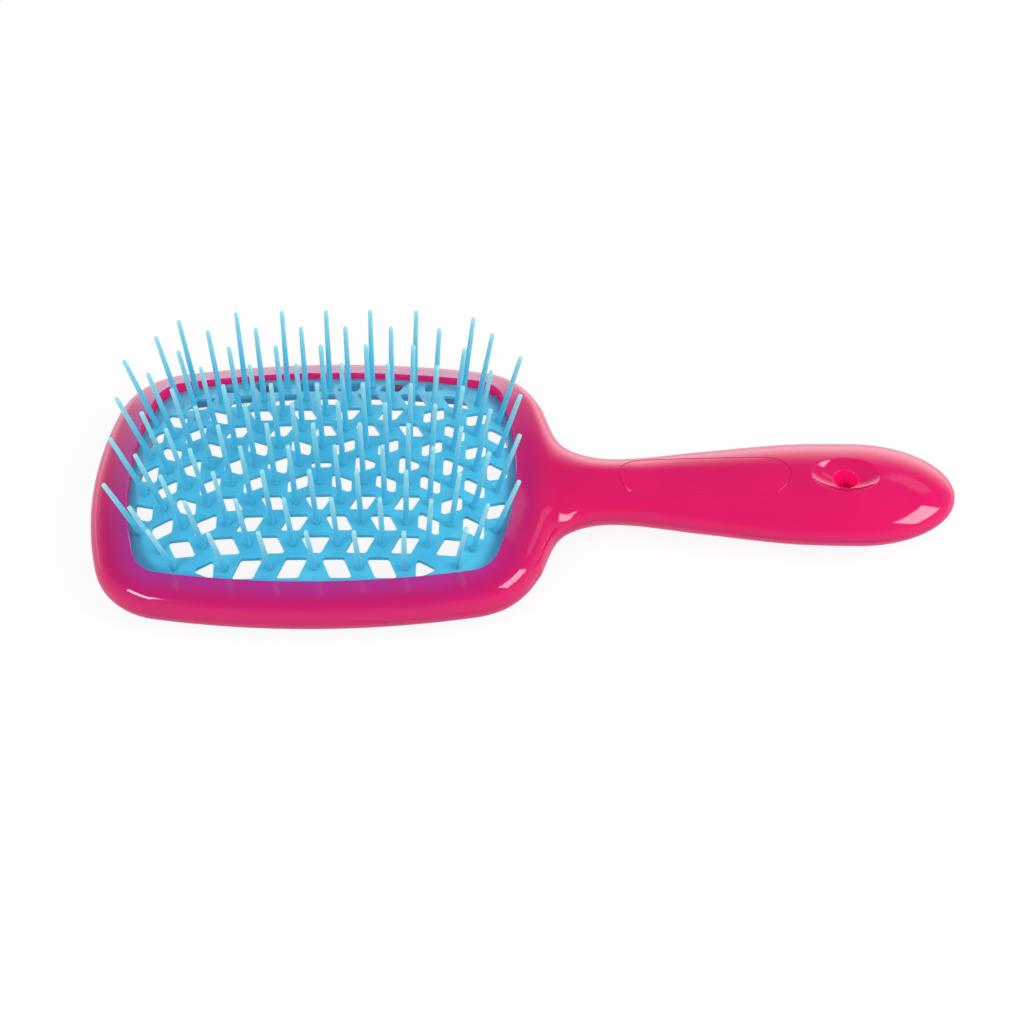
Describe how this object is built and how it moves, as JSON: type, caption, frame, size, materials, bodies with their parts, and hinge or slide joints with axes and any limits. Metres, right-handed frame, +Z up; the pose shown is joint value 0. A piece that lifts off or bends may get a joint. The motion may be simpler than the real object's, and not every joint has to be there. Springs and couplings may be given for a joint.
{
  "type": "detangling hair brush",
  "caption": "Detangling brush: a hollow oblong frame with a tapered handle and hanging eye, a domed vented bed and rows of long flexible pins.",
  "frame": {"origin": "middle of the brush's length and width, on the surface it lies on", "axes": "+X from the head to the handle's end, +Y across, +Z up, pins upwards"},
  "size_m": [0.2062, 0.0834, 0.0365],
  "materials": {
    "shell": "polished translucent pink",
    "bed": "semi-gloss turquoise",
    "pins": "semi-gloss turquoise"
  },
  "bodies": {
    "frame": {"front_shell": "shell", "back_shell": "shell", "pin_bed": "bed"},
    "pin_row_01": {"pin_row_01": "pins"},
    "pin_row_02": {"pin_row_02": "pins"},
    "pin_row_03": {"pin_row_03": "pins"},
    "pin_row_04": {"pin_row_04": "pins"},
    "pin_row_05": {"pin_row_05": "pins"},
    "pin_row_06": {"pin_row_06": "pins"},
    "pin_row_07": {"pin_row_07": "pins"},
    "pin_row_08": {"pin_row_08": "pins"},
    "pin_row_09": {"pin_row_09": "pins"},
    "pin_row_10": {"pin_row_10": "pins"},
    "pin_row_11": {"pin_row_11": "pins"}
  },
  "joints": [
    {"name": "pin_row_01_bend", "type": "hinge", "parent": "frame", "child": "pin_row_01", "pos_m": [-0.04777, -0.03, 0.01068], "axis": [0.9997, 0, 0.0252], "range_deg": [-10, 10], "stiffness_Nm_per_rad": 0.05},
    {"name": "pin_row_02_bend", "type": "hinge", "parent": "frame", "child": "pin_row_02", "pos_m": [-0.04781, -0.024, 0.01221], "axis": [0.9997, 0, 0.0252], "range_deg": [-10, 10], "stiffness_Nm_per_rad": 0.05},
    {"name": "pin_row_03_bend", "type": "hinge", "parent": "frame", "child": "pin_row_03", "pos_m": [-0.04784, -0.018, 0.01316], "axis": [0.9997, 0, 0.0252], "range_deg": [-10, 10], "stiffness_Nm_per_rad": 0.05},
    {"name": "pin_row_04_bend", "type": "hinge", "parent": "frame", "child": "pin_row_04", "pos_m": [-0.04785, -0.012, 0.01371], "axis": [0.9997, 0, 0.0252], "range_deg": [-10, 10], "stiffness_Nm_per_rad": 0.05},
    {"name": "pin_row_05_bend", "type": "hinge", "parent": "frame", "child": "pin_row_05", "pos_m": [-0.04786, -0.006, 0.014], "axis": [0.9997, 0, 0.0252], "range_deg": [-10, 10], "stiffness_Nm_per_rad": 0.05},
    {"name": "pin_row_06_bend", "type": "hinge", "parent": "frame", "child": "pin_row_06", "pos_m": [-0.04786, 0, 0.01408], "axis": [0.9997, 0, 0.0252], "range_deg": [-10, 10], "stiffness_Nm_per_rad": 0.05},
    {"name": "pin_row_07_bend", "type": "hinge", "parent": "frame", "child": "pin_row_07", "pos_m": [-0.04786, 0.006, 0.014], "axis": [0.9997, 0, 0.0252], "range_deg": [-10, 10], "stiffness_Nm_per_rad": 0.05},
    {"name": "pin_row_08_bend", "type": "hinge", "parent": "frame", "child": "pin_row_08", "pos_m": [-0.04785, 0.012, 0.01371], "axis": [0.9997, 0, 0.0252], "range_deg": [-10, 10], "stiffness_Nm_per_rad": 0.05},
    {"name": "pin_row_09_bend", "type": "hinge", "parent": "frame", "child": "pin_row_09", "pos_m": [-0.04784, 0.018, 0.01316], "axis": [0.9997, 0, 0.0252], "range_deg": [-10, 10], "stiffness_Nm_per_rad": 0.05},
    {"name": "pin_row_10_bend", "type": "hinge", "parent": "frame", "child": "pin_row_10", "pos_m": [-0.04781, 0.024, 0.01221], "axis": [0.9997, 0, 0.0252], "range_deg": [-10, 10], "stiffness_Nm_per_rad": 0.05},
    {"name": "pin_row_11_bend", "type": "hinge", "parent": "frame", "child": "pin_row_11", "pos_m": [-0.04777, 0.03, 0.01068], "axis": [0.9997, 0, 0.0252], "range_deg": [-10, 10], "stiffness_Nm_per_rad": 0.05}
  ]
}
